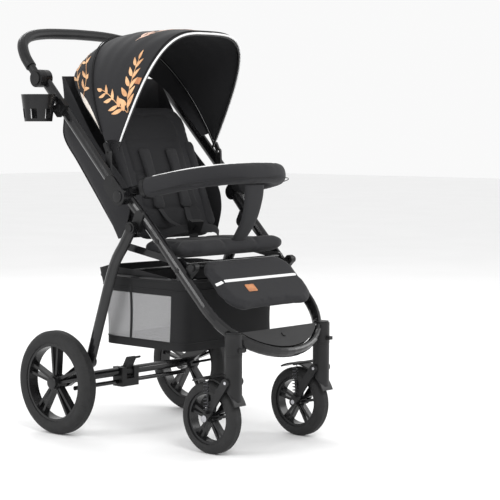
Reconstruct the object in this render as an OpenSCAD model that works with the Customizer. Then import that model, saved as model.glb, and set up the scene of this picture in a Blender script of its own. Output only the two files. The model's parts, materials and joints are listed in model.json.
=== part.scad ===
// Four-wheeled folding baby stroller. Millimetres. Origin on the ground, midway between the sides.
// +Z is up, the front is -Y, the child's right-hand side is -X.

/* [Frame] */
// Distance from the middle to the centre of an upper tube
tube_x = 228; // [215:1:240]
// Distance from the middle to the centre of a front tube
front_tube_x = 200; // [190:1:204]
// Height of the fold hinge above the ground
fold_z = 647; // [620:1:680]
// Fold hinge, measured back from the middle of the frame
fold_y = 20; // [0:1:40]
// Slope of the upper tubes above the horizontal
upper_slope = 46; // [42:1:50]
// Slope of the front tubes below the horizontal
front_slope = 45.5; // [43:0.5:48]
// Length of an upper tube from the fold hinge to the handle joint
upper_len = 433; // [400:1:460]
// Straight length of a front tube below the fold hinge
front_len = 385; // [370:1:400]
// Depth of the front tube's U bend
bend_len = 167; // [150:1:180]
// Width of a frame tube, side to side
tube_w = 20; // [16:1:22]
// Depth of a frame tube, seen from the side
tube_d = 32; // [26:1:36]

/* [Wheels] */
// Diameter of a rear wheel
rear_wheel_d = 280; // [260:5:290]
// Width of a rear tyre
rear_tyre_w = 44; // [36:1:46]
// Distance from the middle to the centre plane of a rear wheel
rear_x = 261; // [259:1:275]
// Rear axle, measured back from the middle of the frame
rear_axle_y = 237; // [225:1:250]
// Diameter of a front wheel
front_wheel_d = 185; // [170:5:190]
// Width of a front tyre
front_tyre_w = 38; // [32:1:40]
// Distance from the middle to the centre plane of a front wheel
front_x = 174; // [168:1:180]
// Horizontal distance from a swivel axis back to its wheel's axle
trail = 73; // [66:1:76]

/* [Seat] */
// Half the width of the seat cushion
seat_half_w = 182; // [170:1:184]
// Length of the seat cushion from front to back
seat_depth = 228; // [200:1:232]
// Thickness of the seat cushion
seat_t = 38; // [30:1:42]
// Length of the backrest
back_len = 400; // [360:1:420]
// Half the width of the backrest
back_half_w = 166; // [150:1:170]
// Angle of the backrest above the horizontal
back_angle = 68; // [64:1:72]
// Length of the calf rest
calf_len = 150; // [130:1:155]

/* [Handle, hood and bumper] */
// Length of the handle from its joint to the cross grip
handle_len = 182; // [165:1:200]
// Thickness of the foam grip
grip_d = 30; // [26:1:34]
// Height of the front hood bow above its hinge
hood_h = 345; // [320:1:350]
// Thickness of the padded bumper bar
bumper_d = 54; // [46:1:56]
// Reach of the bumper bar in front of the fold hinge
bumper_reach = 258; // [240:1:262]

/* [Fits] */
// Radial clearance of a pin in its bore
pin_gap = 0.1; // [0.05:0.05:0.1]
// Gap between parts that move past each other
side_gap = 0.4; // [0.3:0.1:0.6]
// Thickness of a fabric wall
cloth_t = 3; // [2:0.5:4]

/* [Hidden] */
$fn = 48;
fold = [fold_y, fold_z];
function along(from, angle, r) = from + r * [cos(angle), sin(angle)];
up_angle = upper_slope;
down_angle = 180 + front_slope;
handle_joint = along(fold, up_angle, upper_len);
half_w = tube_w / 2;
half_d = tube_d / 2;
pin_r = 6;
small_pin_r = 4;
knuckle_r = 22;
knuckle_x = tube_x - half_w - side_gap - half_w;
leg_pivot = fold + [-34, -81];
leg_x = 225;
leg_w = 18;
leg_d = 34;
rear_r = rear_wheel_d / 2;
rear_hub = [rear_axle_y, rear_r];
leg_foot = rear_hub + [-92, 62];
front_r = front_wheel_d / 2;
bend_bottom = along(fold, down_angle, front_len + bend_len);
swivel_y = bend_bottom[0] + 44;
front_hub = [swivel_y + trail, front_r];
housing_top = bend_bottom[1] + 58;
housing_bottom = bend_bottom[1] + 4;
column_bottom = front_wheel_d + 8;
link_pivot = [swivel_y + 3, front_wheel_d + 5];
bight = fold + [18, -132];
seat_top = bight[1] + 10;
seat_front = bight[0] - 4 - seat_depth;
seat_under = seat_top - seat_t;
calf_pivot = [seat_front - 8, seat_under - 16];
calf_slope = 223;
hood_pivot = fold + [63, 112];
rim_lean = 117;
mid_lean = 62;
rear_lean = 46;
bumper_pivot = fold + [-22, 16];
bumper_lean = 169;
bumper_r = bumper_d / 2;
bumper_x = tube_x - half_w - side_gap - 5 - bumper_r;
basket_x = 182;
button_w = 7;

// Puts a drawing made in the side view's plane in place: x is back, y is up, z is to the left.
module side() rotate([90, 0, 90]) children();
// Repeats a part on the other side of the stroller.
module both() {
    children();
    mirror([1, 0, 0]) children();
}
// A pin, rod or disc along X at a point of the side view, from x0 to x1.
module rod(at, r, x0, x1) side() translate([at[0], at[1], x0]) cylinder(r = r, h = x1 - x0);
// A flat bar between two points of the side view, from x0 to x1.
module bar(a, b, r, x0, x1) side() translate([0, 0, x0]) linear_extrude(x1 - x0) {
    translate(a) circle(r);
    translate(b) circle(r);
    d = b - a;
    side = 0.998; // the sides cross the round ends just inside their widest points
    translate(a) rotate(atan2(d[1], d[0])) translate([0, -side * r]) square([norm(d), 2 * side * r]);
}
// A cushion: an upright slab with rounded ends, between two points of the side view.
module cushion(a, b, t, half) bar(a, b, t / 2, -half, half);
// Smooth curve through points, with n steps between each pair.
function spline(p, n) = concat([for (i = [0:len(p) - 2], k = [0:n - 1])
    let (a = p[max(i - 1, 0)], b = p[i], c = p[i + 1], d = p[min(i + 2, len(p) - 1)], t = k / n)
    0.5 * (2 * b + (c - a) * t + (2 * a - 5 * b + 4 * c - d) * t * t + (3 * b - a - 3 * c + d) * t * t * t)],
    [p[len(p) - 1]]);
function unit(v) = v / norm(v);
// Oval tube swept along a path; a is its half size across "flat", b the other half size.
module tube(path, flat, a, b, sides = 14) {
    last = len(path) - 1;
    rings = [for (i = [0:last])
        let (t = unit(path[min(i + 1, last)] - path[max(i - 1, 0)]),
            v = unit(cross(t, flat)), u = cross(v, t))
        for (k = [0:sides - 1]) path[i] + a * cos(360 * k / sides) * u + b * sin(360 * k / sides) * v];
    quads = [for (i = [0:last - 1], k = [0:sides - 1])
        let (n = (k + 1) % sides, p = i * sides)
        each [[p + k, p + sides + k, p + n], [p + n, p + sides + k, p + sides + n]]];
    polyhedron(rings, concat([[for (k = [0:sides - 1]) k]], quads,
        [[for (k = [sides - 1:-1:0]) last * sides + k]]), 4);
}

// The front tubes and their U bend, with the two lower knuckles of the fold hinge
module front_tube() color("#17181a") difference() {
    d = [0, cos(down_angle), sin(down_angle)];
    o = [0, fold[0], fold[1]];
    union() {
        tube(concat(
            [for (s = [0:40:front_len - 20])
                o + d * s + [knuckle_x + (front_tube_x - knuckle_x) * min(s / 100, 1), 0, 0]],
            [for (a = [0:7.5:180])
                o + d * (front_len + bend_len * sin(a)) + [front_tube_x * cos(a), 0, 0]],
            [for (s = [front_len - 24:-40:0])
                o + d * s - [knuckle_x + (front_tube_x - knuckle_x) * min(s / 100, 1), 0, 0]]),
            cross(d, [1, 0, 0]), half_d, half_w);
        both() rod(fold, knuckle_r, knuckle_x - half_w, knuckle_x + half_w);
        both() bar(fold, bumper_pivot, 10, knuckle_x - half_w, knuckle_x + half_w);
    }
    both() rod(fold, pin_r, knuckle_x - tube_w, knuckle_x + tube_w);
    both() rod(bumper_pivot, small_pin_r, knuckle_x - tube_w, knuckle_x + tube_w);
}

// A flat drawing placed in the plane of the front tubes: x across, y down the tubes, z back
module down_plane() translate([0, fold[0], fold[1]]) rotate([down_angle, 0, 0]) children();

// Moulded footrest that fills the U of the front tube
module foot_outline() polygon([for (a = [38:8:142])
    [(front_tube_x - half_w - 1.5) * cos(a), front_len + (bend_len - half_w - 1.5) * sin(a)]]);
module footplate() color("#222326") down_plane() difference() {
    translate([0, 0, -12]) linear_extrude(16) foot_outline();
    translate([0, front_len + bend_len - 50, -20]) cylinder(r = button_w + 0.2, h = 40);
}
// Screw cover in the footrest
module footplate_cap() color("#0c0c0d") down_plane()
    translate([0, front_len + bend_len - 50, -14]) cylinder(r = button_w, h = 14);

// Swivel housings clamped to the bend of the front tube
module swivel_housings() color("#1c1d1f") difference() {
    d = [0, cos(down_angle), sin(down_angle)];
    both() union() {
        translate([front_x, swivel_y, housing_bottom])
            cylinder(r = 22.5, h = housing_top - housing_bottom);
        translate([front_x, swivel_y, housing_top]) cylinder(r = 20, h = 4);
        translate([front_x - 40, swivel_y - 8, housing_bottom + 6]) cube([40, 16, 30]);
    }
    tube([for (a = [0:7.5:180]) [0, fold[0], fold[1]] + d * (front_len + bend_len * sin(a))
        + [front_tube_x * cos(a), 0, 0]], cross(d, [1, 0, 0]), half_d + 0.2, half_w + 0.2);
    down_plane() translate([0, 0, -12.3]) linear_extrude(16.6) foot_outline();
    both() translate([front_x, swivel_y, housing_bottom - 1])
        cylinder(r = 8 + pin_gap, h = 30);
}
// Brackets that carry the rear leg pivots behind the front tubes
module leg_brackets() color("#1b1c1e") both() difference() {
    foot = along(fold, down_angle, 70);
    bar(leg_pivot, foot, 15, knuckle_x - half_w, leg_x - leg_w / 2 - side_gap);
    tube([for (s = [0:40:160]) [knuckle_x + (front_tube_x - knuckle_x) * min(s / 100, 1),
            each along(fold, down_angle, s)]],
        cross([0, cos(down_angle), sin(down_angle)], [1, 0, 0]), half_d + 0.2, half_w + 0.2);
    rod(leg_pivot, pin_r, 150, 260);
    rod(fold, knuckle_r + 0.5, 150, 260);
}
// Pins of the fold hinges and of the leg pivots
module pivot_pins() color("#8d9094") both() {
    rod(fold, pin_r, knuckle_x - half_w, tube_x + half_w - 3);
    rod(fold, pin_r + 4, knuckle_x - half_w - 4, knuckle_x - half_w);
    rod(leg_pivot, pin_r, knuckle_x - half_w, leg_x + leg_w / 2 + side_gap);
    rod(leg_pivot, pin_r + 4, leg_x + leg_w / 2 + side_gap, leg_x + leg_w / 2 + 3);
    rod(bumper_pivot, small_pin_r, knuckle_x - half_w - 7, knuckle_x + half_w);
}
// Side bars and cross bars that carry the seat
module seat_frame() color("#191a1c") {
    x0 = seat_half_w + 0.4;
    x1 = front_tube_x - half_w - 0.5;
    both() difference() {
        bar([seat_front + 26, seat_under - 9], [bight[0] + 16, bight[1]], 9, x0, x1);
        rod([seat_front + 26, seat_under - 9], 5, x0 - 1, x1 + 1);
        rod(bight, small_pin_r + pin_gap, x0 - 1, x1 + 1);
    }
    rod([seat_front + 26, seat_under - 9], 5, -x1, x1);
}
// Padded seat base
module seat_pad() color("#2b2b2d")
    cushion([seat_front + seat_t / 2, seat_under + seat_t / 2],
        [bight[0] - 14 - seat_t / 2, seat_under + seat_t / 2], seat_t, seat_half_w);
// Buckle of the harness on the seat
module at_buckle() translate([0, bight[0] - 62, seat_top + 14]) rotate([24, 0, 0]) children();
module harness_buckle() color("#151516") at_buckle() difference() {
    translate([-23, 0, 0]) cube([46, 14, 38]);
    translate([0, 12, 19]) rotate([90, 0, 0]) cylinder(r = 9.3, h = 20);
}
// Press button of the harness buckle
module buckle_button() color("#b3202a") at_buckle()
    translate([0, 9, 19]) rotate([90, 0, 0]) cylinder(r = 9, h = 10);
// Crotch and lap webbing of the harness
module harness_webbing() color("#1d1d1f") {
    translate([-19, bight[0] - 58, seat_top + 0.4]) cube([38, 4, 15]);
    both() translate([23.3, bight[0] - 65, seat_top + 20]) cube([96, 3, 24]);
}

// Ears that carry the calf rest in front of the seat
module calf_brackets() color("#1b1c1e") both() difference() {
    s = (calf_pivot - fold) * [cos(down_angle), sin(down_angle)];
    bar(calf_pivot, along(fold, down_angle, s), 12, front_tube_x - 18, front_tube_x - 4);
    tube([for (k = [0, 400]) [front_tube_x, each along(fold, down_angle, k)]],
        cross([0, cos(down_angle), sin(down_angle)], [1, 0, 0]), half_d + 0.2, half_w + 0.2);
    rod(calf_pivot, small_pin_r + pin_gap, 100, 300);
    rod(calf_pivot, 9 + side_gap, front_tube_x - 7.5, 300);
}
// Padded calf rest with its pivot pins
module calf_rest() color("#2b2b2d") {
    far = along(calf_pivot, calf_slope, calf_len);
    near = along(calf_pivot, calf_slope, 12);
    cushion(near, far, 24, front_tube_x - 22);
    both() rod(calf_pivot, small_pin_r, front_tube_x - 22, front_tube_x - 8);
}
// Push buttons of the calf rest joints
module calf_button() color("#0f0f10") rod(calf_pivot, 9, front_tube_x - 3.6, front_tube_x + 3);

// Fabric basket on its wire rim, open at the top
module basket() color("#7c7d80") difference() {
    outer = [[-158, 250], [140, 250], [168, 430], [-172, 430]];
    inner = [[-152, 256], [134, 256], [162, 432], [-166, 432]];
    side() translate([0, 0, -basket_x]) linear_extrude(2 * basket_x) polygon(outer);
    side() translate([0, 0, cloth_t * 2 - basket_x]) linear_extrude(2 * (basket_x - cloth_t * 2))
        polygon(inner);
}
// Wire rim and hangers of the basket
module basket_rim() color("#202124") {
    tube([for (a = [0:15:360]) [(basket_x + 1) * pow(abs(cos(a)), 0.4) * sign(cos(a)),
        -2 + 172 * pow(abs(sin(a)), 0.4) * sign(sin(a)), 434.2]], [0, 0, 1], 4, 4, 8);
    both() difference() {
        bar([-160, 440.3], [-160, 450], 5, 142, front_tube_x + half_w - 6);
        tube([for (k = [0, 400]) [front_tube_x, each along(fold, down_angle, k)]],
            cross([0, cos(down_angle), sin(down_angle)], [1, 0, 0]), half_d + 0.3, half_w + 0.3);
    }
}

// Straight tube of the upper frame on each side, with its fold knuckle and handle hub
module upper_tubes() color("#17181a") both() difference() {
    union() {
        tube([for (s = [0, upper_len]) [tube_x, each along(fold, up_angle, s)]],
            cross([0, cos(up_angle), sin(up_angle)], [1, 0, 0]), half_d, half_w);
        rod(fold, knuckle_r, tube_x - half_w, tube_x + half_w);
        rod(handle_joint, 24, tube_x - half_w, tube_x + half_w);
    }
    rod(fold, pin_r + pin_gap, tube_x - tube_w, tube_x + tube_w);
    rod(handle_joint, pin_r, tube_x - tube_w, tube_x + tube_w);
}
// Moulded covers over the fold hinges
module hinge_covers() color("#141416") both()
    bar(fold, along(fold, up_angle, 42), knuckle_r + 2, tube_x + half_w, tube_x + half_w + 5);
// Clips on the upper tubes that carry the hood bows
clip_x = tube_x - half_w - 7;
module hood_clips() color("#161618") both() difference() {
    union() {
        bar(along(fold, up_angle, 88), hood_pivot, 9, clip_x, tube_x - half_w - 0.2);
        bar(hood_pivot, along(hood_pivot, mid_lean, 24), 6, clip_x, tube_x - half_w - 0.2);
    }
    rod(hood_pivot, small_pin_r + pin_gap, clip_x - 5, tube_x);
}
// One point of the hood: t goes over it from side to side, lean is the bow's angle
function hood_w(lean) = clip_x - 3.8 - 24 * max(0, (lean - mid_lean) / (rim_lean - mid_lean))
    - 26 * max(0, (mid_lean - lean) / (mid_lean - rear_lean));
function hood_r(lean) = hood_h + 4 * (lean < mid_lean ? 0 : 1) - 22 * max(0, (mid_lean - lean) / (mid_lean - rear_lean));
function hood_n(lean) = lean >= mid_lean ? 2.2 + 1.4 * (lean - mid_lean) / (rim_lean - mid_lean)
    : 2.2 + 1.6 * (mid_lean - lean) / (mid_lean - rear_lean);
function hood_at(t, lean, out) =
    let (p = 2 / hood_n(lean), r = (hood_r(lean) + out) * pow(sin(t), p))
    [(hood_w(lean) + out) * pow(abs(cos(t)), p) * sign(cos(t)), each along(hood_pivot, lean, r)];
module hood_bow(lean, t0) tube([for (t = [t0:(180 - 2 * t0) / 36:180 - t0 + 0.01]) hood_at(t, lean, 0)],
    [0, -sin(lean), cos(lean)], 3.5, 3.5, 8);
// Closed curved sheet of the hood between two leans
module hood_cloth(from, to, steps, gap, start) {
    n = 30;
    leans = [for (k = [0:steps]) from + (to - from) * k / steps];
    m = n + 1;
    layer = (steps + 1) * m;
    points = [for (out = [gap, gap + cloth_t], l = leans, k = [0:n])
        let (t0 = asin(pow(start / hood_r(l), hood_n(l) / 2))) hood_at(t0 + (180 - 2 * t0) * k / n, l, out)];
    function quad(a, b, c, d) = [[a, b, c], [a, c, d]];
    skin = [for (i = [0:steps - 1], k = [0:n - 1]) let (a = i * m + k) each concat(
        quad(a, a + 1, a + m + 1, a + m),
        quad(layer + a, layer + a + m, layer + a + m + 1, layer + a + 1))];
    ends = [for (i = [0:steps - 1], k = [0, n]) let (a = i * m + k) each (k == 0
        ? quad(a, a + m, layer + a + m, layer + a) : quad(a + m, a, layer + a, layer + a + m))];
    edges = [for (k = [0:n - 1], i = [0, steps]) let (a = i * m + k) each (i == 0
        ? quad(a + 1, a, layer + a, layer + a + 1) : quad(a, a + 1, layer + a + 1, layer + a))];
    polyhedron(points, concat(skin, ends, edges), 6);
}
// Fixed middle bow of the hood
module mid_bow() color("#0f0f10") hood_bow(mid_lean, 2.5);
// Rear panel of the hood
module hood_rear() color("#242426") hood_cloth(mid_lean - 0.6, rear_lean, 4, 7, 62);
// Front bow of the hood with its hinge eyes
module front_bow() color("#0f0f10") {
    hood_bow(rim_lean, 1);
    both() rod(hood_pivot, 9, hood_w(rim_lean) - 4, clip_x - side_gap);
    both() rod(hood_pivot, small_pin_r, clip_x - 5, tube_x - half_w - 0.5);
}
// Front panel of the hood
module hood_front() color("#242426") hood_cloth(rim_lean, mid_lean + 0.6, 8, 4.5, 36);

// Fabric shell that hangs behind the upper tubes and holds the backrest
module back_bag() color("#2a2b2d") {
    top = along(handle_joint, 165, 34);
    outer = [[86, 532], [322, 806], [311, 866], top + [10, 6], top, [30, 640]];
    low = [70, 538];
    difference() {
        side() translate([0, 0, 8 - tube_x + half_w + 24]) linear_extrude(2 * (tube_x - half_w - 32))
            polygon(concat(outer, [low]));
        side() translate([0, 0, 8 - tube_x + half_w + 24 + cloth_t])
            linear_extrude(2 * (tube_x - half_w - 32 - cloth_t))
            polygon(concat([for (k = [0:3]) outer[k] + [-cloth_t - 1.2, 2]], [top + [-80, 60], low + [-40, 20]]));
    }
}
// Backrest with its lower pivot pins
module backrest() color("#2b2b2d") {
    cushion(along(bight, back_angle, 16), along(bight, back_angle, back_len), 24, back_half_w);
    both() rod(bight, small_pin_r, back_half_w - 10, front_tube_x - half_w - 1);
    both() bar(bight, along(bight, back_angle, 16), 8, back_half_w - 8, back_half_w);
}
// Padded shoulder straps on the backrest
module shoulder_pads() color("#232325") both() {
    n = [-sin(back_angle), cos(back_angle)];
    bar(along(bight, back_angle, 90) + n * 16.4, along(bight, back_angle, 262) + n * 16.4, 4, 36, 78);
}

// Cup holder on the right-hand upper tube
cup_at = [-(tube_x + 66), 270, 842];
module cup_bracket() color("#141416") difference() {
    union() {
        side() translate([0, 0, -(tube_x + half_w + 8)]) linear_extrude(16)
            translate(along(fold, up_angle, 322)) rotate(up_angle) translate([-14, -22]) square([28, 44]);
        translate([-(tube_x + half_w + 13.9), 236, 868]) cube([7.9, 26, 18]);
    }
    mirror([1, 0, 0]) tube([for (s = [100, upper_len]) [tube_x, each along(fold, up_angle, s)]],
        cross([0, cos(up_angle), sin(up_angle)], [1, 0, 0]), half_d + 0.2, half_w + 0.2);
}
module cup_holder() color("#18181a") translate(cup_at) difference() {
    cylinder(r1 = 37, r2 = 46, h = 72, $fn = 48);
    translate([0, 0, 4]) cylinder(r1 = 34, r2 = 43.4, h = 72, $fn = 48);
    for (a = [30:60:330]) rotate(a) translate([20, -9, 8]) cube([40, 18, 26]);
}

// Pushing handle: joint discs and the bent tube inside the grip
module handle_bar() color("#141416") both() difference() {
    union() {
        rod(handle_joint, 24, tube_x + half_w + side_gap, tube_x + half_w + 20);
        tube([for (s = [0, 44]) [tube_x + half_w + 10, each along(handle_joint, up_angle + 1, s)]],
            cross([0, cos(up_angle + 1), sin(up_angle + 1)], [1, 0, 0]), 13, 9);
    }
    rod(handle_joint, 17.4, tube_x + half_w + 14, tube_x + half_w + 30);
    rod(handle_joint, pin_r + pin_gap, tube_x, tube_x + half_w + 30);
}
// Foam grip of the handle
module handle_grip() color("#1b1b1c") {
    w = tube_x + half_w + 10;
    d = [0, cos(up_angle + 1), sin(up_angle + 1)];
    o = [0, handle_joint[0], handle_joint[1]];
    h = spline([for (p = [[w, 44.2], [w - 3, 86], [w - 24, 134], [w - 68, 164], [w - 140, 178], [0, handle_len]])
        o + d * p[1] + [p[0], 0, 0]], 5);
    tube(concat(h, [for (i = [len(h) - 2:-1:0]) [-h[i][0], h[i][1], h[i][2]]]),
        cross(d, [1, 0, 0]), grip_d / 2, grip_d / 2);
}
// Pins of the handle joints
module handle_pins() color("#8d9094") both()
    rod(handle_joint, pin_r, tube_x - half_w, tube_x + half_w + 12);
// Round push button of a handle joint
module handle_button() color("#1f1f21") rod(handle_joint, 17, tube_x + half_w + 17.4, tube_x + half_w + 24);

// Sockets that the bumper bar's ends turn on
module bumper_sockets() color("#141416") both() {
    x1 = knuckle_x - half_w - side_gap;
    difference() {
        bar(bumper_pivot, along(bumper_pivot, bumper_lean, 16.7), 13, x1 - 7, x1);
        rod(bumper_pivot, small_pin_r + pin_gap, x1 - 20, x1 + 20);
    }
}
// Padded bumper bar with its core
module bumper_bar() color("#2b2b2d") {
    d = [0, cos(bumper_lean), sin(bumper_lean)];
    o = [0, bumper_pivot[0], bumper_pivot[1]];
    reach = bumper_reach + bumper_pivot[0] - fold[0];
    h = spline([for (p = [[bumper_x, 30], [bumper_x - 2, 80], [bumper_x - 18, reach - 76],
        [bumper_x - 66, reach - 24], [bumper_x - 126, reach - 4], [0, reach]])
        o + d * p[1] + [p[0], 0, 0]], 4);
    tube(concat(h, [for (i = [len(h) - 2:-1:0]) [-h[i][0], h[i][1], h[i][2]]]),
        cross(d, [1, 0, 0]), bumper_r, bumper_r - 4);
}
// Fabric flap from the bumper bar down to the seat
module crotch_flap() color("#262628") {
    y = bumper_pivot[0] + (bumper_reach - 22) * cos(bumper_lean);
    hull() {
        translate([-36, y - 6, 664]) cube([72, 22, 2]);
        translate([-27, y + 62, seat_top + 0.4]) cube([54, 12, 2]);
    }
}

// Rear legs, bowed backwards, with the casting that carries each wheel
module rear_legs() color("#17181a") both() difference() {
    d = leg_foot - leg_pivot;
    n = unit([-d[1], d[0]]);
    union() {
        tube(spline([for (p = [[0, 0], [0.134, 8], [0.305, 20], [0.656, 11], [1, 0]])
            [leg_x, each leg_pivot + p[0] * d + p[1] * n]], 4), [0, n[0], n[1]], leg_d / 2, leg_w / 2);
        rod(leg_pivot, 16, leg_x - leg_w / 2, leg_x + leg_w / 2);
        bar(leg_foot, rear_hub, 16, leg_x - leg_w / 2, leg_x + leg_w / 2 - 2);
    }
    rod(leg_pivot, pin_r + pin_gap, leg_x - leg_w, leg_x + leg_w);
    rod(rear_hub, pin_r, leg_x - leg_w, leg_x + leg_w);
}
// Cross tube and brake rod between the rear legs
module rear_axle() color("#17181a") {
    w = leg_x - leg_w / 2;
    rod(rear_hub + [-20, 8], 12, -w, w);
    rod(rear_hub + [-20, -20], 6, -w, w);
}
// Stub axles of the rear wheels
module rear_stubs() color("#8d9094") both()
    rod(rear_hub, pin_r, leg_x - leg_w / 2, rear_x + rear_tyre_w / 2 - 4);
// Housing of the brake on the rear axle
module brake_housing() color("#141416") translate([-22, 0, 0]) difference() {
    side() translate([0, 0, -32]) linear_extrude(64)
        translate(rear_hub + [-20, -6]) square([38, 54], center = true);
    rod(rear_hub + [-20, 8], 12, -60, 60);
    rod(rear_hub + [-20, -20], 6, -60, 60);
    translate([-14.4, rear_hub[0] - 87, rear_hub[1] - 12]) cube([28.8, 160, 60]);
}
// Foot pedal of the brake
module brake_pedal() color("#101011") translate([-22, 0, 0]) difference() {
    union() {
        bar(rear_hub + [-20, 8], rear_hub + [-40, 44], 6, -14, 14);
        rod(rear_hub + [-20, 8], 15, -14, 14);
        bar(rear_hub + [-40, 44], rear_hub + [-62, 50], 3, -14, 14);
    }
    rod(rear_hub + [-20, 8], 12 + pin_gap, -60, 60);
}

// Tyre of a wheel, turned about the X axis at a hub point of the side view
module tyre(hub, x, r, w, depth) color("#1a1a1b") side() translate([hub[0], hub[1], x])
    rotate_extrude($fn = 72) difference() {
        union() {
            translate([r - depth, -w / 2 + 4]) square([depth - w / 4, w - 8]);
            translate([r - w / 2 + 2, 0]) intersection() {
                circle(w / 2);
                translate([-w, -w / 2]) square([w + w / 2 - 2, w]);
            }
        }
        translate([0, -w]) square([r - depth, 2 * w]);
    }
// Rim, five twin spokes and hub of a wheel
module rim(hub, x, r, w, hub_r) color("#141415") side() translate([hub[0], hub[1], x]) difference() {
    union() {
        difference() {
            translate([0, 0, -w / 2]) cylinder(r = r, h = w, $fn = 72);
            translate([0, 0, -w]) cylinder(r = r - 8, h = 2 * w, $fn = 72);
        }
        translate([0, 0, -w / 2 - 1]) cylinder(r = hub_r, h = w + 2);
        for (a = [18:72:306], s = [-1, 1]) rotate(a) rotate(s * 5)
            translate([hub_r - 6, s * 3 - 3.5, -w / 2 + 6]) cube([r - hub_r + 1, 7, w - 12]);
    }
    translate([0, 0, -w]) cylinder(r = pin_r + pin_gap, h = 2 * w);
}
rear_depth = 34;
front_depth = 24;
module rear_tyre() tyre(rear_hub, rear_x, rear_r, rear_tyre_w, rear_depth);
module rear_rim() rim(rear_hub, rear_x, rear_r - rear_depth, rear_tyre_w - 12, 20);
module front_tyre() tyre(front_hub, front_x, front_r, front_tyre_w, front_depth);
module front_rim() rim(front_hub, front_x, front_r - front_depth, front_tyre_w - 10, 14);

// Front swivel column with its mudguard and the upper seats of its springs
guard_r = front_r + 9;
spring_x = front_tyre_w / 2 + 17.4;
spring_y = front_hub[0] - 14;
spring_top = front_hub[1] + guard_r + 4;
spring_low = front_hub[1] + 18;
module fork() color("#1c1d1f") difference() {
    union() {
        translate([front_x, swivel_y, front_hub[1] + 50])
            cylinder(r = 22, h = housing_bottom - side_gap - front_hub[1] - 50);
        translate([front_x, swivel_y, housing_bottom - 20]) cylinder(r = 8, h = 46);
        side() translate([front_hub[0], front_hub[1], front_x - 21]) rotate(62)
            rotate_extrude(angle = 96, $fn = 72) translate([guard_r - 1, 0]) square([5, 42]);
        rod(link_pivot, 10, front_x - 22, front_x + 22);
        rod([spring_y, spring_top], 4, front_x - spring_x - 6, front_x + spring_x + 6);
    }
    rod(link_pivot, small_pin_r + pin_gap, front_x - 40, front_x + 40);
    rod(front_hub, guard_r, front_x - 60, front_x + 60);
}
// Sprung arms between the column and the front axle
module link() color("#222326") {
    x0 = front_tyre_w / 2 + 4.5;
    for (s = [-1, 1]) translate([front_x + s * (x0 + 3), 0, 0]) difference() {
        union() {
            bar(link_pivot, front_hub, 11, -3, 3);
            rod([spring_y, spring_low], 4, min(0, s * (spring_x - x0 + 3)), max(0, s * (spring_x - x0 + 3)));
        }
        rod(link_pivot, small_pin_r, -50, 50);
        rod(front_hub, pin_r, -50, 50);
    }
}
// Bolts of the sprung arms and the front wheel
module link_bolts() color("#8d9094") {
    x0 = front_tyre_w / 2 + 10.5;
    rod(link_pivot, small_pin_r, front_x - x0, front_x + x0);
    rod(front_hub, pin_r, front_x - x0, front_x + x0);
}
// Coil springs beside the front wheel
module springs() color("#3a3b3d") for (s = [-1, 1])
    side() translate([spring_y, spring_low + 4.3, front_x + s * spring_x])
        rotate([-90, 0, 0]) cylinder(r = 6, h = spring_top - spring_low - 8.6);
// Swivel lock lever on the front of a housing
module swivel_lock() color("#101011")
    translate([front_x - 7, swivel_y - 33.4, housing_bottom + 10]) cube([14, 10.6, 9]);

front_tube();
footplate();
footplate_cap();
swivel_housings();
leg_brackets();
pivot_pins();
seat_frame();
seat_pad();
harness_buckle();
buckle_button();
harness_webbing();
calf_brackets();
calf_rest();
basket();
basket_rim();
upper_tubes();
hinge_covers();
hood_clips();
mid_bow();
hood_rear();
front_bow();
hood_front();
back_bag();
backrest();
shoulder_pads();
cup_bracket();
cup_holder();
handle_bar();
handle_grip();
handle_pins();
bumper_sockets();
bumper_bar();
crotch_flap();
rear_legs();
rear_axle();
rear_stubs();
brake_housing();
brake_pedal();
calf_button();  // calf_button_left
mirror([1, 0, 0]) calf_button();  // calf_button_right
handle_button();  // handle_button_left
mirror([1, 0, 0]) handle_button();  // handle_button_right
rear_tyre();  // rear_tyre_left
translate([-2 * rear_x, 0, 0]) rear_tyre();  // rear_tyre_right
rear_rim();  // rear_rim_left
translate([-2 * rear_x, 0, 0]) rear_rim();  // rear_rim_right
fork();  // fork_left
translate([-2 * front_x, 0, 0]) fork();  // fork_right
link();  // link_left
translate([-2 * front_x, 0, 0]) link();  // link_right
springs();  // springs_left
translate([-2 * front_x, 0, 0]) springs();  // springs_right
link_bolts();  // link_bolts_left
translate([-2 * front_x, 0, 0]) link_bolts();  // link_bolts_right
front_tyre();  // front_tyre_left
translate([-2 * front_x, 0, 0]) front_tyre();  // front_tyre_right
front_rim();  // front_rim_left
translate([-2 * front_x, 0, 0]) front_rim();  // front_rim_right
swivel_lock();  // swivel_lock_left
mirror([1, 0, 0]) swivel_lock();  // swivel_lock_right
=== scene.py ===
"""Folding baby stroller: fabric, padding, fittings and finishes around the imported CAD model."""
import json
import logging
import math
from dataclasses import dataclass, field
from enum import Enum
from typing import Callable, Sequence

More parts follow.
